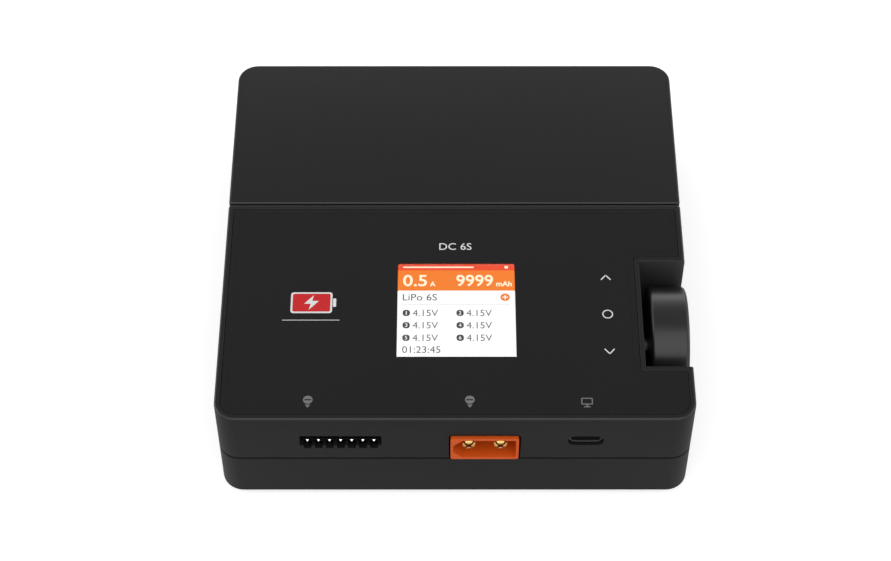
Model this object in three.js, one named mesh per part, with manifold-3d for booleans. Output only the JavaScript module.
// Balance battery charger built as two blocks that slide apart: a charger block with a colour
// display, a press-and-turn wheel and its sockets in front, and a mains power supply block
// behind it. Millimetres, +X to the right, +Y to the back, +Z up. The origin is under the
// middle of the object, on the surface that it stands on.

import * as THREE from 'three';
import { mergeVertices } from 'three/addons/utils/BufferGeometryUtils.js';
import Module from 'manifold-3d';

const wasm = await Module();
wasm.setup();

// ------------------------------------------------------------------ driving sizes: the casing

const WIDTH = 108;
const CHARGER_DEPTH = 61.85;
const SUPPLY_DEPTH = 45.1;
const SPLIT_GAP = 0.35;
const BODY_HEIGHT = 29.6;
const UPPER_SHELL_HEIGHT = 15.8;
const FOOT_STANDOFF = 0.9;
const CORNER_RADIUS = 4.9;
const SPLIT_RADIUS = 0.8;
const EDGE_FILLET = 0.6;
const WALL = 1.6;
const FLOOR = 1.5;
const SEAM_GAP = 0.35;
const LIP_GAP = 0.2;
const LIP_THICKNESS = 0.8;
const LIP_RISE = 1.2;
const LIP_ROOT = 2;
const LEAST_RADIUS = 0.2;
const FIT_GAP = 0.3;

// ------------------------------------------------------------------ top panel and display

const PANEL_INSET = 1.6;
const PANEL_CORNER_RADIUS = 3.3;
const PANEL_RECESS = 1;
const PANEL_THICKNESS = 0.8;
const PANEL_GROOVE = 0.3;
const SKIN = 1.3;
const WINDOW_WIDTH = 27.25;
const WINDOW_LENGTH = 27;
const WINDOW_X = 0.375;
const WINDOW_FROM_FRONT = 30.55;
const WINDOW_RADIUS = 0.6;
const LENS_GAP = 0.15;
const LENS_DROP = 0.05;
const LENS_THICKNESS = 0.6;
const MODULE_MARGIN = 0.9;
const MODULE_THICKNESS = 2.2;
const MODULE_POCKET = 0.4;
const FRAME_RIM = 2.2;
const FRAME_FLOOR = 1.6;

// ------------------------------------------------------------------ wheel, its well and encoder

const WELL_WIDTH = 10.8;
const WELL_FROM_FRONT = 14.45;
const WELL_WALL = 1.4;
const WELL_FLOOR = 1;
const NOTCH_BEZEL = 1.4;
const NOTCH_RADIUS = 0.6;
const WHEEL_WIDTH = 8.8;
const WHEEL_PROUD = 0.1;
const WHEEL_FLOOR_GAP = 0.5;
const WHEEL_FRONT_GAP = 1.5;
const WHEEL_REAR_GAP = 0.56;
const WHEEL_FILLET = 0.9;
const WHEEL_WEB = 2;
const WHEEL_DISH = 0.5;
const WHEEL_RIM = 3;
const WHEEL_CORNER_ROOM = 2.1;
const SHAFT_RADIUS = 2;
const SHAFT_FLAT = 1.4;
const BUSHING_WALL = 1.1;
const PRESS_TRAVEL = 0.5;
const ENCODER_SIDE = 12.4;
const ENCODER_LENGTH = 7;
const ENCODER_END_WALL = 1.6;
const ROTOR_RADIUS = 4.8;
const ROTOR_LENGTH = 3;
const SWITCH_SIDE = 8;
const SWITCH_LENGTH = 3.8;
const SWITCH_GAP = 1.4;
const PLUNGER_RADIUS = 1.4;
const PLUNGER_LENGTH = 3.3;
const PLUNGER_PROUD = 0.7;
const BOARD_THICKNESS = 1.6;
const ENCODER_BOARD_WIDTH = 18;

// ------------------------------------------------------------------ sockets

const POWER_WIDTH = 15.45;
const POWER_HEIGHT = 8.1;
const POWER_LENGTH = 16;
const POWER_WALL = 0.65;
const POWER_CUT = 2.4;
const POWER_CAVITY = 9;
const POWER_DROP = 11.05;
const POWER_PIN_RADIUS = 1.75;
const POWER_PIN_PITCH = 7.2;
const POWER_PIN_SHY = 1;
const POWER_PIN_TAIL = 2.5;
const POWER_PIN_SLIT = 0.6;
const POWER_PIN_SLIT_LENGTH = 5;
const OUTPUT_X = 6.7;
const OUTPUT_PROUD = 0.75;
const LINK_X = 18;
const PLUG_REACH = 8;
const PLUG_BODY = 10;
const BALANCE_X = -25.8;
const BALANCE_WIDTH = 18.4;
const BALANCE_HEIGHT = 4.9;
const BALANCE_DROP = 8.65;
const BALANCE_LENGTH = 8;
const BALANCE_WALL = 0.7;
const BALANCE_CAVITY = 5;
const BALANCE_TOOTH_WIDTH = 1.7;
const BALANCE_TOOTH_HEIGHT = 1.1;
const BALANCE_PINS = 7;
const BALANCE_PITCH = 2.5;
const BALANCE_PIN = 0.64;
const BALANCE_PIN_SHY = 0.5;
const BALANCE_PIN_DROP = 0.6;
const BALANCE_PIN_TAIL = 1.5;
const USB_X = 29.5;
const USB_WIDTH = 8;
const USB_HEIGHT = 3.8;
const USB_DROP = 8.7;
const USB_LENGTH = 7.5;
const USB_WALL = 0.35;
const USB_SHELL_INSET = 0.25;
const USB_TONGUE_WIDTH = 5.4;
const USB_TONGUE_THICKNESS = 0.7;
const USB_TONGUE_LENGTH = 6.4;
const USB_TONGUE_SHY = 0.6;

// ------------------------------------------------------------------ inside the charger block

const BOARD_DROP = 11.2;
const BOARD_INSET = 2.9;
const BOARD_CLEARANCE = 0.5;
const FAN_DEPTH = 10;
const FAN_FROM_FRONT = 31.5;
const FAN_CLEARANCE = 0.4;
const FAN_DUCT_WALL = 0.8;
const FAN_HUB_RADIUS = 5.4;
const FAN_TIP_GAP = 0.5;
const FAN_BLADES = 7;
const FAN_BLADE_THICKNESS = 0.9;
const FAN_BLADE_PITCH = Math.PI / 5;
const FAN_STRUT = 1.4;
const FAN_HOLE_RADIUS = 1.4;
const HEATSINK_MARGIN = 2;
const HEATSINK_PLATE = 2;
const FIN_THICKNESS = 1;
const FIN_PITCH = 3;
const INDUCTOR_SIDE = 13;
const INDUCTOR_HEIGHT = 6.5;
const INDUCTOR_FROM_FRONT = 24;
const CAPACITOR_RADIUS = 4;
const CAPACITOR_HEIGHT = 7.5;
const CAPACITOR_FROM_REAR = 9;

// ------------------------------------------------------------------ inside the supply block

const SUPPLY_BOARD_RISE = 3.5;
const SUPPLY_HEADROOM = 2;
const INLET_X = -32;
const INLET_FLANGE_WIDTH = 24;
const INLET_FLANGE_HEIGHT = 15;
const INLET_PROUD = OUTPUT_PROUD;
const INLET_FLANGE_GAP = 0.15;
const INLET_BODY_WALL = 1.3;
const INLET_LENGTH = 14;
const INLET_DEPTH = 11;
const INLET_LOBE_RADIUS = 4.2;
const INLET_WAIST = 7.14;
const INLET_FLANGE_CORNER = 2;
const INLET_PIN_RADIUS = 1.2;
const INLET_PIN_PITCH = 8.6;
const INLET_PIN_SHY = 2;
const INLET_PIN_TAIL = 3;
const CORE_WIDTH = 30;
const CORE_DEPTH = 12;
const CORE_LEG = 7;
const CORE_YOKE = 4;
const TRANSFORMER_X = -6;
const WINDING_WALL = 7;
const BULK_RADIUS = 8;
const BULK_LENGTH = 30;
const BULK_X = 24;
const SUPPLY_SINK_LENGTH = 16;
const SUPPLY_SINK_THICKNESS = 3;
const SUPPLY_SINK_FROM_SIDE = 16;
const CHOKE_RADIUS = 5;
const CHOKE_TUBE = 2.4;
const LUG_X = 36;
const LUG_WIDTH = 8;
const LUG_HEIGHT = 2.4;
const LUG_REACH = 3.2;
const LUG_RISE = 4;

// ------------------------------------------------------------------ fasteners, feet and vents

const SCREW_INSET = 7;
const BOSS_RADIUS = 3.2;
const SCREW_RADIUS = 1.2;
const SCREW_HEAD_RADIUS = 2.3;
const SCREW_HEAD_HEIGHT = 1.6;
const SCREW_HEAD_DEPTH = 0.9;
const SCREW_GRIP = 6;
const SCREW_SLOT = 0.6;
const SCREW_SLOT_DEPTH = 0.8;
const FOOT_LENGTH = 60;
const FOOT_WIDTH = 5;
const FOOT_INSET = 9;
const FOOT_SEAT = 0.6;
const VENT_WIDTH = 1.6;
const VENT_PITCH = 3.2;
const VENT_MARGIN = 2;
const FAN_VENTS = 7;
const WHEEL_SIDE_VENTS = 3;
const WHEEL_SIDE_VENTS_FROM_REAR = 8;
const SUPPLY_VENTS = 7;
const FLOOR_VENTS = 7;
const FLOOR_VENT_LENGTH = 18;

const ROUND_SIDES = 12;
const FINE_SIDES = 36;
const CORNER_STEPS = 4;
const FILLET_STEPS = 2;
const PAST = 1;

// ------------------------------------------------------------------ places worked out from them

const DEPTH = CHARGER_DEPTH + SPLIT_GAP + SUPPLY_DEPTH;
const SIDE = WIDTH / 2;
const FRONT = -DEPTH / 2;
const REAR = DEPTH / 2;
const CHARGER_REAR = FRONT + CHARGER_DEPTH;
const SUPPLY_FRONT = CHARGER_REAR + SPLIT_GAP;
const BASE = FOOT_STANDOFF;
const TOP = BASE + BODY_HEIGHT;
const FLOOR_TOP = BASE + FLOOR;
const SEAM = TOP - UPPER_SHELL_HEIGHT;
const SKIN_TOP = TOP - PANEL_RECESS;
const SKIN_UNDER = SKIN_TOP - SKIN;
const BOARD_TOP = TOP - BOARD_DROP;
const BOARD_UNDER = BOARD_TOP - BOARD_THICKNESS;
const LIP_INSET = WALL + LIP_GAP;

const WHEEL_RADIUS = (BODY_HEIGHT + WHEEL_PROUD - WELL_FLOOR - WHEEL_FLOOR_GAP) / 2;
const WELL_LEFT = SIDE - WELL_WIDTH;
const WELL_FRONT = FRONT + WELL_FROM_FRONT;
const WELL_REAR = WELL_FRONT + WHEEL_FRONT_GAP + 2 * WHEEL_RADIUS + WHEEL_REAR_GAP;
const WHEEL_Y = WELL_FRONT + WHEEL_FRONT_GAP + WHEEL_RADIUS;
const WHEEL_Z = BASE + WELL_FLOOR + WHEEL_FLOOR_GAP + WHEEL_RADIUS;
const WHEEL_LEFT = SIDE - WHEEL_WIDTH;
const BORE_RADIUS = SHAFT_RADIUS + FIT_GAP;
const BUSHING_RADIUS = BORE_RADIUS + BUSHING_WALL;
const BUSHING_RIGHT = WHEEL_LEFT - PRESS_TRAVEL - FIT_GAP;
const ENCODER_RIGHT = WELL_LEFT - WELL_WALL - 2 * FIT_GAP;
const ENCODER_LEFT = ENCODER_RIGHT - ENCODER_LENGTH;
const SWITCH_RIGHT = ENCODER_LEFT - SWITCH_GAP;
const PLUNGER_RIGHT = SWITCH_RIGHT + PLUNGER_PROUD;
const SHAFT_LEFT = PLUNGER_RIGHT + FIT_GAP;
const SHAFT_RIGHT = SIDE - WHEEL_WEB - FIT_GAP;
const ENCODER_BOARD_RIGHT = SWITCH_RIGHT - SWITCH_LENGTH - FIT_GAP;
const ENCODER_BOARD_LEFT = ENCODER_BOARD_RIGHT - BOARD_THICKNESS;

const POWER_Z = TOP - POWER_DROP;
const BALANCE_PIN_Z = TOP - BALANCE_DROP - BALANCE_PIN_DROP;
const OUTPUT_FRONT = FRONT - OUTPUT_PROUD;
const WINDOW_Y = FRONT + WINDOW_FROM_FRONT;
const FAN_LEFT = -SIDE + LIP_INSET + LIP_THICKNESS + FAN_CLEARANCE;
const FAN_RIGHT = FAN_LEFT + FAN_DEPTH;
const FAN_SIDE = SKIN_UNDER - FLOOR_TOP - 2 * FAN_CLEARANCE;
const FAN_Y = FRONT + FAN_FROM_FRONT;
const FAN_Z = (SKIN_UNDER + FLOOR_TOP) / 2;
const FAN_DUCT_RADIUS = FAN_SIDE / 2 - FAN_DUCT_WALL;
const UPPER_VENTS = [SEAM + LIP_RISE + VENT_MARGIN, SKIN_UNDER - VENT_MARGIN];
const LOWER_VENTS = [FLOOR_TOP + VENT_MARGIN, SEAM - LIP_ROOT - VENT_MARGIN / 2];
const SUPPLY_CEILING = TOP - WALL;
const SUPPLY_BOARD_TOP = FLOOR_TOP + SUPPLY_BOARD_RISE + BOARD_THICKNESS;
const SUPPLY_MIDDLE = (SUPPLY_FRONT + REAR) / 2;
const INLET_Z = BASE + BODY_HEIGHT / 2;

const CHARGER_BLOCK = {
  y: [FRONT, CHARGER_REAR],
  frontRadius: CORNER_RADIUS,
  backRadius: SPLIT_RADIUS,
  ceiling: SKIN_UNDER,
};
const SUPPLY_BLOCK = {
  y: [SUPPLY_FRONT, REAR],
  frontRadius: SPLIT_RADIUS,
  backRadius: CORNER_RADIUS,
  ceiling: SUPPLY_CEILING,
};

// ------------------------------------------------------------------ solids from three.js shapes

function toSolid(geometry) {
  geometry.deleteAttribute('normal');
  geometry.deleteAttribute('uv');
  const merged = mergeVertices(geometry);
  const corners = merged.index.array;
  const kept = [];
  for (let i = 0; i < corners.length; i += 3) {
    const [a, b, c] = [corners[i], corners[i + 1], corners[i + 2]];
    if (a !== b && b !== c && c !== a) {
      kept.push(a, b, c);
    }
  }
  const vertProperties = new Float32Array(merged.attributes.position.array);
  const triVerts = new Uint32Array(kept);
  return new wasm.Manifold(new wasm.Mesh({ numProp: 3, vertProperties, triVerts }));
}

function toGeometry(solid) {
  const mesh = solid.getMesh();
  const geometry = new THREE.BufferGeometry();
  geometry.setAttribute('position', new THREE.BufferAttribute(mesh.vertProperties, 3));
  geometry.setIndex(new THREE.BufferAttribute(mesh.triVerts, 1));
  geometry.computeVertexNormals();
  return geometry;
}

function joined(first, others) {
  return others.reduce((solid, other) => solid.add(other), first);
}

function cutBy(first, others) {
  return others.reduce((solid, other) => solid.subtract(other), first);
}

function around(centre, size) {
  return [centre - size / 2, centre + size / 2];
}

function grown([low, high], by) {
  return [low - by, high + by];
}

function middle([low, high]) {
  return (low + high) / 2;
}

function reach([low, high]) {
  return high - low;
}

function block(x, y, z) {
  const box = new THREE.BoxGeometry(reach(x), reach(y), reach(z));
  return toSolid(box.translate(middle(x), middle(y), middle(z)));
}

// A cylinder along one axis. centre holds its other two coordinates, in X, Y, Z order.
function rod(axis, radius, span, centre, sides = ROUND_SIDES) {
  const cylinder = new THREE.CylinderGeometry(radius, radius, reach(span), sides);
  if (axis === 'x') {
    cylinder.rotateZ(-Math.PI / 2);
    cylinder.translate(middle(span), centre[0], centre[1]);
  } else if (axis === 'y') {
    cylinder.translate(centre[0], middle(span), centre[1]);
  } else {
    cylinder.rotateX(Math.PI / 2);
    cylinder.translate(centre[0], centre[1], middle(span));
  }
  return toSolid(cylinder);
}

// A rectangle with one radius on its two low corners and another on its two high corners.
function roundedShape([x0, x1], [y0, y1], lowRadius, highRadius) {
  const quarter = Math.PI / 2;
  const shape = new THREE.Shape();
  shape.moveTo(x0 + lowRadius, y0);
  shape.absarc(x1 - lowRadius, y0 + lowRadius, lowRadius, -quarter, 0, false);
  shape.absarc(x1 - highRadius, y1 - highRadius, highRadius, 0, quarter, false);
  shape.absarc(x0 + highRadius, y1 - highRadius, highRadius, quarter, 2 * quarter, false);
  shape.absarc(x0 + lowRadius, y0 + lowRadius, lowRadius, 2 * quarter, 3 * quarter, false);
  return shape;
}

// An outline pushed along an axis. Along Z the outline is in X and Y, along X it is in Y and
// Z, and along Y it is in X and Z.
function prism(axis, shape, span, fillet = 0) {
  const geometry = new THREE.ExtrudeGeometry(shape, {
    depth: reach(span) - 2 * fillet,
    curveSegments: CORNER_STEPS,
    bevelEnabled: fillet > 0,
    bevelThickness: fillet,
    bevelSize: fillet,
    bevelOffset: -fillet,
    bevelSegments: FILLET_STEPS,
  });
  geometry.translate(0, 0, fillet);
  const turn = new THREE.Matrix4();
  if (axis === 'x') {
    turn.makeBasis(new THREE.Vector3(0, 1, 0), new THREE.Vector3(0, 0, 1), new THREE.Vector3(1, 0, 0));
    turn.setPosition(span[0], 0, 0);
  } else if (axis === 'y') {
    turn.makeBasis(new THREE.Vector3(1, 0, 0), new THREE.Vector3(0, 0, 1), new THREE.Vector3(0, -1, 0));
    turn.setPosition(0, span[1], 0);
  } else {
    turn.setPosition(0, 0, span[0]);
  }
  return toSolid(geometry.applyMatrix4(turn));
}

// ------------------------------------------------------------------ what every casing shares

function outline(box, inset) {
  const x = grown([-SIDE, SIDE], -inset);
  const y = grown(box.y, -inset);
  const frontRadius = Math.max(box.frontRadius - inset, LEAST_RADIUS);
  const backRadius = Math.max(box.backRadius - inset, LEAST_RADIUS);
  return roundedShape(x, y, frontRadius, backRadius);
}

function screwPlaces(box) {
  const places = [];
  for (const y of [box.y[0] + SCREW_INSET, box.y[1] - SCREW_INSET]) {
    for (const x of [-SIDE + SCREW_INSET, SIDE - SCREW_INSET]) {
      places.push([x, y]);
    }
  }
  return places;
}

function footPlaces(box) {
  return [box.y[0] + FOOT_INSET, box.y[1] - FOOT_INSET];
}

function footShape(y, margin) {
  const width = FOOT_WIDTH + 2 * margin;
  const radius = width / 2;
  return roundedShape(around(0, FOOT_LENGTH + 2 * margin), around(y, width), radius, radius);
}

function lip(box) {
  const root = prism('z', outline(box, WALL - LIP_GAP), [SEAM - LIP_ROOT, SEAM - SEAM_GAP / 2]);
  const rise = prism('z', outline(box, LIP_INSET), [SEAM - LIP_ROOT, SEAM + LIP_RISE]);
  const middleSpace = outline(box, LIP_INSET + LIP_THICKNESS);
  const hollow = prism('z', middleSpace, [SEAM - LIP_ROOT - PAST, SEAM + LIP_RISE + PAST]);
  return root.add(rise).subtract(hollow);
}

// openings are the spaces that go through the walls, and they also clear the lip.
function upperCase(box, openings) {
  const above = block(grown([-SIDE, SIDE], PAST), grown(box.y, PAST), [SEAM + SEAM_GAP / 2, TOP + PAST]);
  const outer = prism('z', outline(box, 0), [BASE, TOP], EDGE_FILLET).intersect(above);
  const hollow = prism('z', outline(box, WALL), [BASE, box.ceiling]);
  const bossSpan = [SEAM + SEAM_GAP / 2, box.ceiling + LEAST_RADIUS];
  const bosses = screwPlaces(box).map((place) => rod('z', BOSS_RADIUS, bossSpan, place));
  const holeSpan = [SEAM - PAST, SEAM + SCREW_GRIP + PAST];
  const holes = screwPlaces(box).map((place) => rod('z', SCREW_RADIUS + FIT_GAP, holeSpan, place));
  return cutBy(joined(outer.subtract(hollow), bosses), [...holes, ...openings]);
}

function lowerCase(box, openings) {
  const below = block(grown([-SIDE, SIDE], PAST), grown(box.y, PAST), [BASE - PAST, SEAM - SEAM_GAP / 2]);
  const outer = prism('z', outline(box, 0), [BASE, TOP], EDGE_FILLET).intersect(below);
  const hollow = prism('z', outline(box, WALL), [FLOOR_TOP, TOP]);
  const bossSpan = [FLOOR_TOP - LEAST_RADIUS, SEAM - SEAM_GAP / 2];
  const bosses = screwPlaces(box).map((place) => rod('z', BOSS_RADIUS, bossSpan, place));
  const seatTop = BASE + SCREW_HEAD_DEPTH + SCREW_HEAD_HEIGHT + FIT_GAP;
  const seatRadius = SCREW_HEAD_RADIUS + FIT_GAP;
  const seats = screwPlaces(box).map((place) => rod('z', seatRadius, [BASE - PAST, seatTop], place));
  const holeSpan = [BASE - PAST, SEAM + PAST];
  const holes = screwPlaces(box).map((place) => rod('z', SCREW_RADIUS + FIT_GAP, holeSpan, place));
  const footSpan = [BASE - PAST, BASE + FOOT_SEAT];
  const footSeats = footPlaces(box).map((y) => prism('z', footShape(y, FIT_GAP), footSpan));
  const shell = joined(outer.subtract(hollow).add(lip(box)), bosses);
  return cutBy(shell, [...seats, ...holes, ...footSeats, ...openings]);
}

// A row of upright slots through a side wall, centred on centreY.
function sideVents(wallX, centreY, count, z) {
  const wallSpan = around(wallX, 2 * (WALL + PAST) + 2 * LIP_THICKNESS);
  const firstY = centreY - ((count - 1) * VENT_PITCH) / 2;
  const slots = [];
  for (let i = 0; i < count; i += 1) {
    slots.push(block(wallSpan, around(firstY + i * VENT_PITCH, VENT_WIDTH), z));
  }
  return slots;
}

// ------------------------------------------------------------------ wheel well in the casing

function wellShape(margin) {
  const bottom = BASE + WELL_FLOOR - margin;
  const radius = WHEEL_RADIUS - WHEEL_CORNER_ROOM + margin;
  return roundedShape(grown([WELL_FRONT, WELL_REAR], margin), [bottom, TOP + PAST], radius, LEAST_RADIUS);
}

function wellSpace() {
  return prism('x', wellShape(0), [WELL_LEFT, SIDE + PAST]);
}

// The walls of the well, cut off flush with the outside of the charger block.
function wellWalls() {
  const walls = prism('x', wellShape(WELL_WALL), [WELL_LEFT - WELL_WALL, SIDE + PAST]);
  return walls.intersect(prism('z', outline(CHARGER_BLOCK, 0), [BASE, TOP], EDGE_FILLET));
}

function shaftHole() {
  const span = [WELL_LEFT - WELL_WALL - PAST, WELL_LEFT + PAST];
  return rod('x', BUSHING_RADIUS + FIT_GAP, span, [WHEEL_Y, WHEEL_Z]);
}

// ------------------------------------------------------------------ front and rear openings

// The high-current socket's outline: two corners are cut off on its negative side.
function powerShape(centreX, inset) {
  const [x0, x1] = around(centreX, POWER_WIDTH - 2 * inset);
  const [z0, z1] = around(POWER_Z, POWER_HEIGHT - 2 * inset);
  const corner = POWER_CUT - inset / 2;
  const shape = new THREE.Shape();
  shape.moveTo(x0 + corner, z0);
  shape.lineTo(x1, z0);
  shape.lineTo(x1, z1);
  shape.lineTo(x0 + corner, z1);
  shape.lineTo(x0, z1 - corner);
  shape.lineTo(x0, z0 + corner);
  return shape;
}

function powerOuterShape(centreX, grow) {
  const x = around(centreX, POWER_WIDTH + 2 * grow);
  const z = around(POWER_Z, POWER_HEIGHT + 2 * grow);
  return roundedShape(x, z, POWER_WALL + grow, POWER_WALL + grow);
}

// The balance socket's opening: a slot with one short tooth cut down below each pin.
function balanceOpening(through) {
  const [low, high] = around(TOP - BALANCE_DROP, BALANCE_HEIGHT);
  const slot = block(around(BALANCE_X, BALANCE_WIDTH), through, [low + BALANCE_TOOTH_HEIGHT, high]);
  const teeth = balancePinPlaces().map((x) => {
    const z = [low, low + BALANCE_TOOTH_HEIGHT + LEAST_RADIUS];
    return block(around(x, BALANCE_TOOTH_WIDTH), through, z);
  });
  return joined(slot, teeth);
}

function usbShape(inset) {
  const x = around(USB_X, USB_WIDTH - 2 * inset);
  const z = around(TOP - USB_DROP, USB_HEIGHT - 2 * inset);
  const radius = reach(z) / 2 - LEAST_RADIUS / 2;
  return roundedShape(x, z, radius, radius);
}

function inletShape(grow) {
  const x = around(INLET_X, INLET_PIN_PITCH + 2 * (INLET_LOBE_RADIUS + INLET_BODY_WALL + grow));
  const z = around(INLET_Z, 2 * (INLET_LOBE_RADIUS + INLET_BODY_WALL + grow));
  return roundedShape(x, z, INLET_BODY_WALL + grow, INLET_BODY_WALL + grow);
}

function plugNoseShape(grow) {
  const inset = POWER_WALL + FIT_GAP - grow;
  return powerShape(LINK_X, inset);
}

function lug(side, grow) {
  const x = around(side * LUG_X, LUG_WIDTH + 2 * grow);
  const z = grown([FLOOR_TOP + LUG_RISE, FLOOR_TOP + LUG_RISE + LUG_HEIGHT], grow);
  return block(x, [CHARGER_REAR - LUG_REACH - grow, SUPPLY_FRONT + WALL / 2], z);
}

function frontOpenings() {
  const through = [FRONT - PAST, FRONT + LIP_INSET + LIP_THICKNESS + PAST];
  return [
    prism('y', powerOuterShape(OUTPUT_X, FIT_GAP), through),
    balanceOpening(through),
    prism('y', usbShape(0), through),
  ];
}

function rearOpenings() {
  const through = [CHARGER_REAR - LIP_INSET - LIP_THICKNESS - PAST, CHARGER_REAR + PAST];
  return [prism('y', powerOuterShape(LINK_X, FIT_GAP), through), lug(-1, FIT_GAP), lug(1, FIT_GAP)];
}

function chargerUpperVents() {
  const fanSide = sideVents(-SIDE, FAN_Y, FAN_VENTS, UPPER_VENTS);
  const wheelSideY = CHARGER_REAR - WHEEL_SIDE_VENTS_FROM_REAR;
  return [...fanSide, ...sideVents(SIDE, wheelSideY, WHEEL_SIDE_VENTS, UPPER_VENTS)];
}

function chargerLowerVents() {
  return [...sideVents(-SIDE, FAN_Y, FAN_VENTS, LOWER_VENTS), ...floorVents(0, FAN_Y)];
}

function floorVents(centreX, centreY) {
  const slots = [];
  for (let i = 0; i < FLOOR_VENTS; i += 1) {
    const x = around(centreX + (i - (FLOOR_VENTS - 1) / 2) * 2 * VENT_PITCH, VENT_WIDTH);
    slots.push(block(x, around(centreY, FLOOR_VENT_LENGTH), [BASE - PAST, FLOOR_TOP + PAST]));
  }
  return slots;
}

function supplyOpenings() {
  const rearWall = [REAR - LIP_INSET - LIP_THICKNESS - PAST, REAR + PAST];
  const bodyY = [SUPPLY_FRONT + WALL, SUPPLY_FRONT + WALL + PLUG_BODY];
  return [
    prism('y', inletShape(FIT_GAP), rearWall),
    prism('y', plugNoseShape(FIT_GAP), [SUPPLY_FRONT - PAST, SUPPLY_FRONT + WALL + PAST]),
    prism('y', powerOuterShape(LINK_X, FIT_GAP), bodyY),
  ];
}

function supplyUpperVents() {
  const [left, right] = [-SIDE, SIDE].map((x) => sideVents(x, SUPPLY_MIDDLE, SUPPLY_VENTS, UPPER_VENTS));
  return [...left, ...right];
}

// ------------------------------------------------------------------ panel and display pieces

// The panel's footprint, larger all round by grow. It steps around the wheel's notch.
function panelFootprint(grow, span) {
  const inset = PANEL_INSET - grow;
  const radius = PANEL_CORNER_RADIUS + grow;
  const x = grown([-SIDE, SIDE], -inset);
  const plate = prism('z', roundedShape(x, grown(CHARGER_BLOCK.y, -inset), radius, SPLIT_RADIUS), span);
  const bezel = NOTCH_BEZEL - grow;
  const notchX = [WELL_LEFT - bezel, SIDE + PAST];
  const notchY = grown([WELL_FRONT, WELL_REAR], bezel);
  const notchShape = roundedShape(notchX, notchY, NOTCH_RADIUS, NOTCH_RADIUS);
  return plate.subtract(prism('z', notchShape, grown(span, PAST)));
}

function windowShape(grow) {
  const x = around(WINDOW_X, WINDOW_WIDTH + 2 * grow);
  const y = around(WINDOW_Y, WINDOW_LENGTH + 2 * grow);
  return roundedShape(x, y, WINDOW_RADIUS, WINDOW_RADIUS);
}

function frontPanel() {
  const span = [TOP - PANEL_THICKNESS, TOP];
  return panelFootprint(0, span).subtract(prism('z', windowShape(0), grown(span, PAST)));
}

function displayLens() {
  const top = TOP - LENS_DROP;
  return prism('z', windowShape(-LENS_GAP), [top - LENS_THICKNESS, top]);
}

function displayModuleTop() {
  return TOP - PANEL_THICKNESS - FIT_GAP;
}

function displayModule() {
  const top = displayModuleTop();
  return prism('z', windowShape(MODULE_MARGIN), [top - MODULE_THICKNESS, top]);
}

function displayFrame() {
  const top = SKIN_UNDER - FIT_GAP;
  const pocketFloor = displayModuleTop() - MODULE_THICKNESS - FIT_GAP;
  const outer = windowShape(MODULE_MARGIN + FRAME_RIM);
  const tray = prism('z', outer, [pocketFloor - FRAME_FLOOR, top]);
  const pocket = prism('z', windowShape(MODULE_MARGIN + MODULE_POCKET), [pocketFloor, top + PAST]);
  const cableSlot = block(around(WINDOW_X, BALANCE_WIDTH), around(WINDOW_Y, WALL), [BOARD_TOP, top]);
  return tray.subtract(pocket).subtract(cableSlot);
}

// ------------------------------------------------------------------ the four casing shells

// The room that the charger block takes between two heights.
function blockHalf(z) {
  return block(grown([-SIDE, SIDE], PAST), grown(CHARGER_BLOCK.y, PAST), z);
}

function chargerUpperCase() {
  const window = prism('z', windowShape(MODULE_MARGIN + MODULE_POCKET), [SKIN_UNDER - PAST, TOP + PAST]);
  const recess = panelFootprint(PANEL_GROOVE, [SKIN_TOP, TOP + PAST]);
  const upperHalf = blockHalf([SEAM + SEAM_GAP / 2, TOP]);
  const shell = upperCase(CHARGER_BLOCK, [...frontOpenings(), ...rearOpenings(), ...chargerUpperVents()]);
  const withWell = shell.add(wellWalls().intersect(upperHalf));
  return cutBy(withWell, [recess, window, wellSpace(), shaftHole()]);
}

function chargerLowerCase() {
  const lowerHalf = blockHalf([BASE, SEAM - SEAM_GAP / 2]);
  const lipClearance = prism('x', wellShape(WELL_WALL + FIT_GAP), [WELL_LEFT - WELL_WALL - FIT_GAP, SIDE])
    .intersect(block([0, SIDE], CHARGER_BLOCK.y, [SEAM - SEAM_GAP / 2, TOP]));
  const openings = [...frontOpenings(), ...rearOpenings(), lipClearance, ...chargerLowerVents()];
  const withWell = lowerCase(CHARGER_BLOCK, openings).add(wellWalls().intersect(lowerHalf));
  return cutBy(withWell, [wellSpace(), shaftHole()]);
}

function supplyUpperCase() {
  return upperCase(SUPPLY_BLOCK, [...supplyOpenings(), ...supplyUpperVents()]);
}

function supplyLowerCase() {
  const openings = [...supplyOpenings(), ...floorVents(0, SUPPLY_MIDDLE)];
  return joined(lowerCase(SUPPLY_BLOCK, openings), [lug(-1, 0), lug(1, 0)]);
}

// ------------------------------------------------------------------ wheel and encoder pieces
// The pieces that turn are made around their own axis, lying along local X, and are placed by
// a group on the wheel's centre line.

// A turned piece: points are [radius, x] pairs that start and end on the axis, or close.
function turned(points, sides) {
  const profile = points.map(([radius, x]) => new THREE.Vector2(radius, x));
  const lathe = new THREE.LatheGeometry(profile, sides);
  return toSolid(lathe.rotateZ(-Math.PI / 2));
}

// A quarter circle of profile points, from one angle to the next, counted from the radius.
function filletPoints(radius, x, fillet, fromAngle) {
  const points = [];
  for (let i = 0; i <= FILLET_STEPS + 1; i += 1) {
    const angle = fromAngle + ((i / (FILLET_STEPS + 1)) * Math.PI) / 2;
    points.push([radius + fillet * Math.cos(angle), x + fillet * Math.sin(angle)]);
  }
  return points;
}

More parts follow.
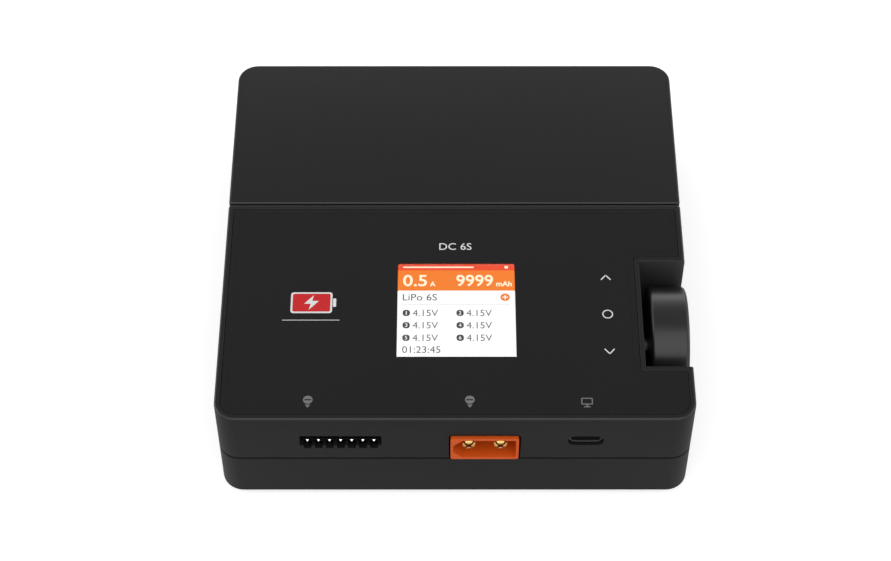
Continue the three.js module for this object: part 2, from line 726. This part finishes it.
function controlWheel() {
  const inner = WHEEL_RADIUS - WHEEL_FILLET;
  const dishRadius = WHEEL_RADIUS - WHEEL_RIM;
  return turned([
    [0, SIDE - WHEEL_WEB],
    [BORE_RADIUS, SIDE - WHEEL_WEB],
    [BORE_RADIUS, WHEEL_LEFT],
    ...filletPoints(inner, WHEEL_LEFT + WHEEL_FILLET, WHEEL_FILLET, -Math.PI / 2),
    ...filletPoints(inner, SIDE - WHEEL_FILLET, WHEEL_FILLET, 0),
    [dishRadius + WHEEL_DISH, SIDE],
    [dishRadius, SIDE - WHEEL_DISH],
    [0, SIDE - WHEEL_DISH],
  ], FINE_SIDES);
}

// The flat along the shaft's inner end drives the encoder's rotor and lets the shaft slide.
function flatCutter(span, height) {
  return block(span, around(0, 4 * SHAFT_RADIUS), [height, height + 2 * SHAFT_RADIUS]);
}

function wheelShaft() {
  const round = rod('x', SHAFT_RADIUS, [SHAFT_LEFT, SHAFT_RIGHT], [0, 0]);
  return round.subtract(flatCutter([SHAFT_LEFT - PAST, ENCODER_RIGHT - ENCODER_END_WALL], SHAFT_FLAT));
}

function rotorSpan() {
  const left = ENCODER_LEFT + (ENCODER_LENGTH - ENCODER_END_WALL - ROTOR_LENGTH) / 2;
  return [left, left + ROTOR_LENGTH];
}

function encoderRotor() {
  const span = rotorSpan();
  const bore = rod('x', BORE_RADIUS, grown(span, PAST), [0, 0]);
  const keyedBore = bore.subtract(flatCutter(grown(span, PAST), SHAFT_FLAT + FIT_GAP));
  return rod('x', ROTOR_RADIUS, span, [0, 0]).subtract(keyedBore);
}

function encoderBody() {
  const side = around(0, ENCODER_SIDE);
  const cavitySpan = [ENCODER_LEFT - PAST, ENCODER_RIGHT - ENCODER_END_WALL];
  const cavity = rod('x', ROTOR_RADIUS + FIT_GAP, cavitySpan, [0, 0]);
  const bore = rod('x', BORE_RADIUS, [ENCODER_LEFT, ENCODER_RIGHT + PAST], [0, 0]);
  return block([ENCODER_LEFT, ENCODER_RIGHT], side, side).subtract(cavity).subtract(bore);
}

function shaftBushing() {
  const span = [ENCODER_RIGHT + FIT_GAP, BUSHING_RIGHT];
  return rod('x', BUSHING_RADIUS, span, [0, 0]).subtract(rod('x', BORE_RADIUS, grown(span, PAST), [0, 0]));
}

function switchBody() {
  const side = around(0, SWITCH_SIDE);
  const holeX = [plungerLeft() - PRESS_TRAVEL - FIT_GAP, SWITCH_RIGHT + PAST];
  const hole = rod('x', PLUNGER_RADIUS + FIT_GAP, holeX, [0, 0]);
  return block([SWITCH_RIGHT - SWITCH_LENGTH, SWITCH_RIGHT], side, side).subtract(hole);
}

function plungerLeft() {
  return PLUNGER_RIGHT - PLUNGER_LENGTH;
}

function switchPlunger() {
  return rod('x', PLUNGER_RADIUS, [plungerLeft(), PLUNGER_RIGHT], [0, 0]);
}

function encoderBoard() {
  const z = [FLOOR_TOP + PAST - WHEEL_Z, SKIN_UNDER - PAST - WHEEL_Z];
  return block([ENCODER_BOARD_LEFT, ENCODER_BOARD_RIGHT], around(0, ENCODER_BOARD_WIDTH), z);
}

// ------------------------------------------------------------------ sockets

function powerSocket(centreX, y, mouthAtFront) {
  const housing = prism('y', powerOuterShape(centreX, 0), y);
  const cavityY = mouthAtFront ? [y[0] - PAST, y[0] + POWER_CAVITY] : [y[1] - POWER_CAVITY, y[1] + PAST];
  const cavity = prism('y', powerShape(centreX, POWER_WALL), cavityY);
  const boreRadius = POWER_PIN_RADIUS + FIT_GAP;
  const bores = powerPinPlaces(centreX).map((x) => rod('y', boreRadius, grown(y, PAST), [x, POWER_Z]));
  return cutBy(housing, [cavity, ...bores]);
}

function powerPinPlaces(centreX) {
  return around(centreX, POWER_PIN_PITCH);
}

// A split pin along local Y with its tip at the origin. Its tail is on the +Y side.
function powerPin() {
  const pinLength = POWER_LENGTH + POWER_PIN_TAIL - POWER_PIN_SHY;
  const pin = rod('y', POWER_PIN_RADIUS, [0, pinLength], [0, 0]);
  const slitY = [-PAST, POWER_PIN_SLIT_LENGTH];
  const wide = around(0, 4 * POWER_PIN_RADIUS);
  const thin = around(0, POWER_PIN_SLIT);
  return cutBy(pin, [block(thin, slitY, wide), block(wide, slitY, thin)]);
}

function supplyPlug() {
  const bodyFront = SUPPLY_FRONT + WALL + FIT_GAP;
  const body = prism('y', powerOuterShape(LINK_X, 0), [bodyFront, bodyFront + PLUG_BODY - 2 * FIT_GAP]);
  const nose = prism('y', plugNoseShape(0), [CHARGER_REAR - PLUG_REACH, bodyFront + LEAST_RADIUS]);
  const boreY = [CHARGER_REAR - PLUG_REACH - PAST, SUPPLY_FRONT + PLUG_BODY / 2];
  const bores = powerPinPlaces(LINK_X).map((x) => rod('y', POWER_PIN_RADIUS + FIT_GAP, boreY, [x, POWER_Z]));
  return cutBy(body.add(nose), bores);
}

// The header stands on the board behind the front wall, with its mouth behind the opening.
function balanceSocket() {
  const x = around(BALANCE_X, BALANCE_WIDTH);
  const y = [FRONT + WALL + FIT_GAP, FRONT + WALL + FIT_GAP + BALANCE_LENGTH];
  const z = [BOARD_TOP + FIT_GAP, TOP - BALANCE_DROP + BALANCE_HEIGHT / 2 + BALANCE_WALL];
  const cavity = block(x, [y[0] - PAST, y[0] + BALANCE_CAVITY], grown(z, -BALANCE_WALL));
  const hole = BALANCE_PIN + 2 * LENS_GAP;
  const holeZ = around(BALANCE_PIN_Z, hole);
  const holes = balancePinPlaces().map((pinX) => block(around(pinX, hole), grown(y, PAST), holeZ));
  return cutBy(block(grown(x, BALANCE_WALL), y, z), [cavity, ...holes]);
}

function balancePinPlaces() {
  const first = BALANCE_X - ((BALANCE_PINS - 1) * BALANCE_PITCH) / 2;
  return Array.from({ length: BALANCE_PINS }, (_, i) => first + i * BALANCE_PITCH);
}

function balancePin() {
  const pinLength = WALL + FIT_GAP + BALANCE_LENGTH + BALANCE_PIN_TAIL - BALANCE_PIN_SHY;
  return block(around(0, BALANCE_PIN), [0, pinLength], around(0, BALANCE_PIN));
}

function usbShell() {
  const span = [FRONT + WALL / 2, FRONT + WALL / 2 + USB_LENGTH];
  const shell = prism('y', usbShape(USB_SHELL_INSET), span);
  const inside = prism('y', usbShape(USB_SHELL_INSET + USB_WALL), [span[0] - PAST, span[1] - USB_WALL]);
  const tongueSlot = block(
    around(USB_X, USB_TONGUE_WIDTH + 2 * FIT_GAP),
    [span[0], span[1] + PAST],
    around(TOP - USB_DROP, USB_TONGUE_THICKNESS + 2 * FIT_GAP),
  );
  return cutBy(shell, [inside, tongueSlot]);
}

function usbTongue() {
  const front = FRONT + WALL / 2 + USB_TONGUE_SHY;
  const z = around(TOP - USB_DROP, USB_TONGUE_THICKNESS);
  return block(around(USB_X, USB_TONGUE_WIDTH), [front, front + USB_TONGUE_LENGTH + PAST], z);
}

// ------------------------------------------------------------------ charger block's inside

function chargerBoard() {
  const span = [BOARD_UNDER, BOARD_TOP];
  const cutSpan = grown(span, PAST);
  const plate = prism('z', outline(CHARGER_BLOCK, BOARD_INSET), span);
  const bossRadius = BOSS_RADIUS + BOARD_CLEARANCE;
  const bosses = screwPlaces(CHARGER_BLOCK).map((place) => rod('z', bossRadius, cutSpan, place));
  const fanY = grown(around(FAN_Y, FAN_SIDE), BOARD_CLEARANCE);
  const encoderX = [ENCODER_BOARD_LEFT - BOARD_CLEARANCE, SIDE];
  const encoderY = grown(around(WHEEL_Y, ENCODER_BOARD_WIDTH), BOARD_CLEARANCE);
  const wellX = [WELL_LEFT - WELL_WALL - BOARD_CLEARANCE, SIDE];
  const wellY = grown([WELL_FRONT - WELL_WALL, WELL_REAR + WELL_WALL], BOARD_CLEARANCE);
  const powerWidth = POWER_WIDTH + 2 * BOARD_CLEARANCE;
  const outputY = [FRONT, OUTPUT_FRONT + POWER_LENGTH + BOARD_CLEARANCE + POWER_PIN_TAIL];
  const inputY = [CHARGER_REAR - POWER_LENGTH - BOARD_CLEARANCE - POWER_PIN_TAIL, CHARGER_REAR];
  return cutBy(plate, [
    ...bosses,
    block([-SIDE, FAN_RIGHT + BOARD_CLEARANCE], fanY, cutSpan),
    block(encoderX, encoderY, cutSpan),
    block(wellX, wellY, cutSpan),
    block(around(OUTPUT_X, powerWidth), outputY, cutSpan),
    block(around(LINK_X, powerWidth), inputY, cutSpan),
  ]);
}

function heatsink() {
  const x = [FAN_RIGHT + HEATSINK_MARGIN, ENCODER_BOARD_LEFT - HEATSINK_MARGIN];
  const frontY = OUTPUT_FRONT + POWER_LENGTH + POWER_PIN_TAIL + HEATSINK_MARGIN;
  const rearY = CHARGER_REAR - POWER_LENGTH - POWER_PIN_TAIL - HEATSINK_MARGIN;
  const top = BOARD_UNDER - FIT_GAP;
  const finZ = [FLOOR_TOP + HEATSINK_MARGIN, top - LEAST_RADIUS];
  const plate = block(x, [frontY, rearY], [top - HEATSINK_PLATE, top]);
  const fins = [];
  for (let y = frontY; y + FIN_THICKNESS <= rearY; y += FIN_PITCH) {
    fins.push(block(x, [y, y + FIN_THICKNESS], finZ));
  }
  return joined(plate, fins);
}

function inductor() {
  const left = -SIDE + LIP_INSET + LIP_THICKNESS + FAN_CLEARANCE + FAN_DEPTH + BOARD_CLEARANCE;
  const right = WINDOW_X - WINDOW_WIDTH / 2 - MODULE_MARGIN - FRAME_RIM;
  const x = around((left + right) / 2, INDUCTOR_SIDE);
  const y = around(FRONT + INDUCTOR_FROM_FRONT, INDUCTOR_SIDE);
  const base = BOARD_TOP + FIT_GAP;
  return prism('z', roundedShape(x, y, WALL, WALL), [base, base + INDUCTOR_HEIGHT], EDGE_FILLET);
}

function chargerCapacitor() {
  const base = BOARD_TOP + FIT_GAP;
  const place = [BALANCE_X, CHARGER_REAR - CAPACITOR_FROM_REAR];
  return rod('z', CAPACITOR_RADIUS, [base, base + CAPACITOR_HEIGHT], place);
}

// ------------------------------------------------------------------ fan, around its own axis

function fanFrame() {
  const half = FAN_SIDE / 2;
  const x = [FAN_LEFT, FAN_RIGHT];
  const body = block(x, [-half, half], [-half, half]);
  const duct = rod('x', FAN_DUCT_RADIUS, grown(x, PAST), [0, 0], 2 * ROUND_SIDES);
  const mountAt = half - FAN_HOLE_RADIUS - FAN_DUCT_WALL;
  const holes = [];
  for (const y of [-mountAt, mountAt]) {
    for (const z of [-mountAt, mountAt]) {
      holes.push(rod('x', FAN_HOLE_RADIUS, grown(x, PAST), [y, z], ROUND_SIDES / 2));
    }
  }
  const backX = [FAN_RIGHT - FAN_STRUT, FAN_RIGHT];
  const hub = rod('x', FAN_HUB_RADIUS, backX, [0, 0]);
  const reachOut = around(0, 2 * FAN_DUCT_RADIUS + FAN_DUCT_WALL);
  const thin = around(0, FAN_STRUT);
  const struts = [block(backX, reachOut, thin), block(backX, thin, reachOut)];
  return joined(cutBy(body, [duct, ...holes]), [hub, ...struts]);
}

function fanBlade(span) {
  const root = FAN_HUB_RADIUS - FAN_BLADE_THICKNESS;
  const tip = FAN_DUCT_RADIUS - FAN_TIP_GAP;
  const chord = reach(span) - 2 * FAN_TIP_GAP;
  const blade = new THREE.BoxGeometry(chord, FAN_BLADE_THICKNESS, tip - root);
  blade.rotateZ(FAN_BLADE_PITCH);
  return blade.translate(middle(span), 0, (root + tip) / 2);
}

function fanRotor() {
  const span = [FAN_LEFT + FAN_TIP_GAP, FAN_RIGHT - FAN_STRUT - FIT_GAP];
  const hub = rod('x', FAN_HUB_RADIUS, span, [0, 0]);
  const blades = [];
  for (let i = 0; i < FAN_BLADES; i += 1) {
    blades.push(toSolid(fanBlade(span).rotateX((i * 2 * Math.PI) / FAN_BLADES)));
  }
  return joined(hub, blades);
}

// ------------------------------------------------------------------ supply block's inside

function supplyBoard() {
  const span = [SUPPLY_BOARD_TOP - BOARD_THICKNESS, SUPPLY_BOARD_TOP];
  const plate = prism('z', outline(SUPPLY_BLOCK, BOARD_INSET), span);
  const cutSpan = grown(span, PAST);
  const bossRadius = BOSS_RADIUS + BOARD_CLEARANCE;
  return cutBy(plate, screwPlaces(SUPPLY_BLOCK).map((place) => rod('z', bossRadius, cutSpan, place)));
}

function coreSpan() {
  return [SUPPLY_BOARD_TOP + FIT_GAP, SUPPLY_CEILING - SUPPLY_HEADROOM];
}

function transformerCore() {
  const z = coreSpan();
  const y = around(SUPPLY_MIDDLE, CORE_DEPTH);
  const windowWidth = (CORE_WIDTH - CORE_LEG) / 2 - CORE_YOKE;
  const windowX = (CORE_LEG + windowWidth) / 2;
  const windows = [-windowX, windowX].map((x) => block(
    around(TRANSFORMER_X + x, windowWidth),
    grown(y, PAST),
    grown(z, -CORE_YOKE),
  ));
  return cutBy(block(around(TRANSFORMER_X, CORE_WIDTH), y, z), windows);
}

function transformerWinding() {
  const z = grown(coreSpan(), -CORE_YOKE - FIT_GAP);
  const holeX = around(TRANSFORMER_X, CORE_LEG + 2 * FIT_GAP);
  const holeY = around(SUPPLY_MIDDLE, CORE_DEPTH + 2 * FIT_GAP);
  const shape = roundedShape(grown(holeX, WINDING_WALL - FIT_GAP), grown(holeY, CORE_YOKE), PAST, PAST);
  return prism('z', shape, z).subtract(block(holeX, holeY, grown(z, PAST)));
}

function bulkCapacitor() {
  const y = REAR - WALL - LIP_INSET - LIP_THICKNESS - BULK_RADIUS;
  return rod('x', BULK_RADIUS, around(BULK_X, BULK_LENGTH), [y, SUPPLY_BOARD_TOP + FIT_GAP + BULK_RADIUS]);
}

function supplyHeatsink() {
  const y = [SUPPLY_FRONT + PLUG_BODY, SUPPLY_FRONT + PLUG_BODY + SUPPLY_SINK_THICKNESS];
  return block(around(SIDE - SUPPLY_SINK_FROM_SIDE, SUPPLY_SINK_LENGTH), y, coreSpan());
}

function lineChoke() {
  const ring = new THREE.TorusGeometry(CHOKE_RADIUS, CHOKE_TUBE, ROUND_SIDES / 2, ROUND_SIDES);
  const z = SUPPLY_BOARD_TOP + FIT_GAP + CHOKE_TUBE;
  return toSolid(ring.translate(INLET_X, SUPPLY_FRONT + PLUG_BODY + CHOKE_RADIUS, z));
}

// The mains inlet: a figure-of-eight recess with two round pins in a flanged housing.
function acInlet() {
  const bodyY = [REAR - INLET_LENGTH, REAR + INLET_PROUD];
  const flangeY = [REAR + INLET_FLANGE_GAP, REAR + INLET_PROUD];
  const flangeX = around(INLET_X, INLET_FLANGE_WIDTH);
  const flangeZ = around(INLET_Z, INLET_FLANGE_HEIGHT);
  const corner = INLET_FLANGE_CORNER;
  const flange = prism('y', roundedShape(flangeX, flangeZ, corner, corner), flangeY);
  const recessY = [REAR - INLET_DEPTH, REAR + INLET_PROUD + PAST];
  const waist = block(around(INLET_X, INLET_PIN_PITCH), recessY, around(INLET_Z, INLET_WAIST));
  const pinPlaces = around(INLET_X, INLET_PIN_PITCH);
  const lobes = pinPlaces.map((x) => rod('y', INLET_LOBE_RADIUS, recessY, [x, INLET_Z], 2 * ROUND_SIDES));
  const bores = pinPlaces.map((x) => rod('y', INLET_PIN_RADIUS + FIT_GAP, grown(bodyY, PAST), [x, INLET_Z]));
  return cutBy(prism('y', inletShape(0), bodyY).add(flange), [joined(waist, lobes), ...bores]);
}

// A round pin along local Y with its tip at the origin. Its tail is on the -Y side.
function inletPin() {
  return rod('y', INLET_PIN_RADIUS, [INLET_PIN_SHY - INLET_LENGTH - INLET_PIN_TAIL, 0], [0, 0]);
}

// ------------------------------------------------------------------ screws and feet

// A screw with its head down, its head's underside at the origin.
function screw() {
  const head = rod('z', SCREW_HEAD_RADIUS, [0, SCREW_HEAD_HEIGHT], [0, 0]);
  const shankTop = SEAM + SCREW_GRIP - BASE - SCREW_HEAD_DEPTH;
  const shankZ = [SCREW_HEAD_HEIGHT - LEAST_RADIUS, shankTop];
  const shank = rod('z', SCREW_RADIUS, shankZ, [0, 0], ROUND_SIDES / 2);
  const slotZ = [-PAST, SCREW_SLOT_DEPTH];
  const long = around(0, 2 * SCREW_HEAD_RADIUS - WALL);
  const thin = around(0, SCREW_SLOT);
  return cutBy(head.add(shank), [block(long, thin, slotZ), block(thin, long, slotZ)]);
}

function foot() {
  return prism('z', footShape(0, 0), [0, BASE + FOOT_SEAT - FIT_GAP]);
}

// ------------------------------------------------------------------ materials

function material(colour, roughness, metalness = 0) {
  return () => new THREE.MeshStandardMaterial({ color: colour, roughness, metalness });
}

const casePlastic = material(0x2f2f30, 0.55);
const panelPlastic = material(0x272728, 0.45);
const lensGlass = material(0x101216, 0.1);
const innerPlastic = material(0x3a3a3c, 0.6);
const blackPlastic = material(0x161617, 0.5);
const wheelCoating = material(0x1c1c1e, 0.4);
const orangeNylon = material(0xd95a1c, 0.45);
const goldPlate = material(0xd8b25a, 0.3, 1);
const tinPlate = material(0xc8cacc, 0.3, 1);
const steel = material(0x9a9c9f, 0.35, 1);
const aluminium = material(0xb4b6b9, 0.4, 1);
const boardLaminate = material(0x1e5a3a, 0.5);
const ferrite = material(0x35363a, 0.7);
const copperWinding = material(0xb5652c, 0.4, 1);
const footRubber = material(0x1a1a1a, 0.9);
const capacitorSleeve = material(0x2a2f4a, 0.4);

// ------------------------------------------------------------------ the assembly

const charger = new THREE.Group();
const wheelAxis = new THREE.Group();
const fanAxis = new THREE.Group();
const supply = new THREE.Group();
wheelAxis.position.set(0, WHEEL_Y, WHEEL_Z);
fanAxis.position.set(0, FAN_Y, FAN_Z);
charger.add(wheelAxis, fanAxis);

function addPiece(group, name, solid, makeMaterial, place = [0, 0, 0], turnZ = 0) {
  const mesh = new THREE.Mesh(toGeometry(solid), makeMaterial());
  mesh.name = name;
  mesh.position.set(...place);
  mesh.rotation.z = turnZ;
  group.add(mesh);
}

addPiece(charger, 'charger_upper_case', chargerUpperCase(), casePlastic);
addPiece(charger, 'charger_lower_case', chargerLowerCase(), casePlastic);
addPiece(charger, 'front_panel', frontPanel(), panelPlastic);
addPiece(charger, 'display_lens', displayLens(), lensGlass);
addPiece(charger, 'display_module', displayModule(), lensGlass);
addPiece(charger, 'display_frame', displayFrame(), innerPlastic);
addPiece(charger, 'charger_board', chargerBoard(), boardLaminate);
addPiece(charger, 'heatsink', heatsink(), aluminium);
addPiece(charger, 'inductor', inductor(), ferrite);
addPiece(charger, 'charger_capacitor', chargerCapacitor(), capacitorSleeve);

const outputY = [OUTPUT_FRONT, OUTPUT_FRONT + POWER_LENGTH];
const inputY = [CHARGER_REAR - POWER_LENGTH, CHARGER_REAR];
const polarities = ['negative', 'positive'];
addPiece(charger, 'output_socket', powerSocket(OUTPUT_X, outputY, true), orangeNylon);
addPiece(charger, 'input_socket', powerSocket(LINK_X, inputY, false), orangeNylon);
polarities.forEach((polarity, i) => {
  const outputPlace = [powerPinPlaces(OUTPUT_X)[i], outputY[0] + POWER_PIN_SHY, POWER_Z];
  const inputPlace = [powerPinPlaces(LINK_X)[i], inputY[1] - POWER_PIN_SHY, POWER_Z];
  addPiece(charger, `output_pin_${polarity}`, powerPin(), goldPlate, outputPlace);
  addPiece(charger, `input_pin_${polarity}`, powerPin(), goldPlate, inputPlace, Math.PI);
});

addPiece(charger, 'balance_socket', balanceSocket(), blackPlastic);
balancePinPlaces().forEach((x, i) => {
  const place = [x, FRONT + BALANCE_PIN_SHY, BALANCE_PIN_Z];
  addPiece(charger, `balance_pin_${i + 1}`, balancePin(), tinPlate, place);
});
addPiece(charger, 'usb_shell', usbShell(), steel);
addPiece(charger, 'usb_tongue', usbTongue(), blackPlastic);

addPiece(fanAxis, 'fan_frame', fanFrame(), blackPlastic);
addPiece(fanAxis, 'fan_rotor', fanRotor(), innerPlastic);

addPiece(wheelAxis, 'encoder_body', encoderBody(), innerPlastic);
addPiece(wheelAxis, 'encoder_rotor', encoderRotor(), blackPlastic);
addPiece(wheelAxis, 'encoder_board', encoderBoard(), boardLaminate);
addPiece(wheelAxis, 'shaft_bushing', shaftBushing(), steel);
addPiece(wheelAxis, 'wheel_shaft', wheelShaft(), steel);
addPiece(wheelAxis, 'control_wheel', controlWheel(), wheelCoating);
addPiece(wheelAxis, 'switch_body', switchBody(), blackPlastic);
addPiece(wheelAxis, 'switch_plunger', switchPlunger(), innerPlastic);

addPiece(supply, 'supply_upper_case', supplyUpperCase(), casePlastic);
addPiece(supply, 'supply_lower_case', supplyLowerCase(), casePlastic);
addPiece(supply, 'supply_plug', supplyPlug(), orangeNylon);
addPiece(supply, 'supply_board', supplyBoard(), boardLaminate);
addPiece(supply, 'transformer_core', transformerCore(), ferrite);
addPiece(supply, 'transformer_winding', transformerWinding(), copperWinding);
addPiece(supply, 'bulk_capacitor', bulkCapacitor(), capacitorSleeve);
addPiece(supply, 'supply_heatsink', supplyHeatsink(), aluminium);
addPiece(supply, 'line_choke', lineChoke(), copperWinding);
addPiece(supply, 'ac_inlet', acInlet(), blackPlastic);
['left', 'right'].forEach((side, i) => {
  const place = [around(INLET_X, INLET_PIN_PITCH)[i], REAR + INLET_PROUD - INLET_PIN_SHY, INLET_Z];
  addPiece(supply, `ac_pin_${side}`, inletPin(), steel, place);
});

const blocks = [[charger, 'charger', CHARGER_BLOCK], [supply, 'supply', SUPPLY_BLOCK]];
for (const [group, blockName, box] of blocks) {
  screwPlaces(box).forEach((place, i) => {
    addPiece(group, `${blockName}_screw_${i + 1}`, screw(), steel, [...place, BASE + SCREW_HEAD_DEPTH]);
  });
  footPlaces(box).forEach((y, i) => {
    addPiece(group, `${blockName}_foot_${['front', 'rear'][i]}`, foot(), footRubber, [0, y, 0]);
  });
}

const batteryCharger = new THREE.Group();
batteryCharger.add(charger, supply);

export default batteryCharger;
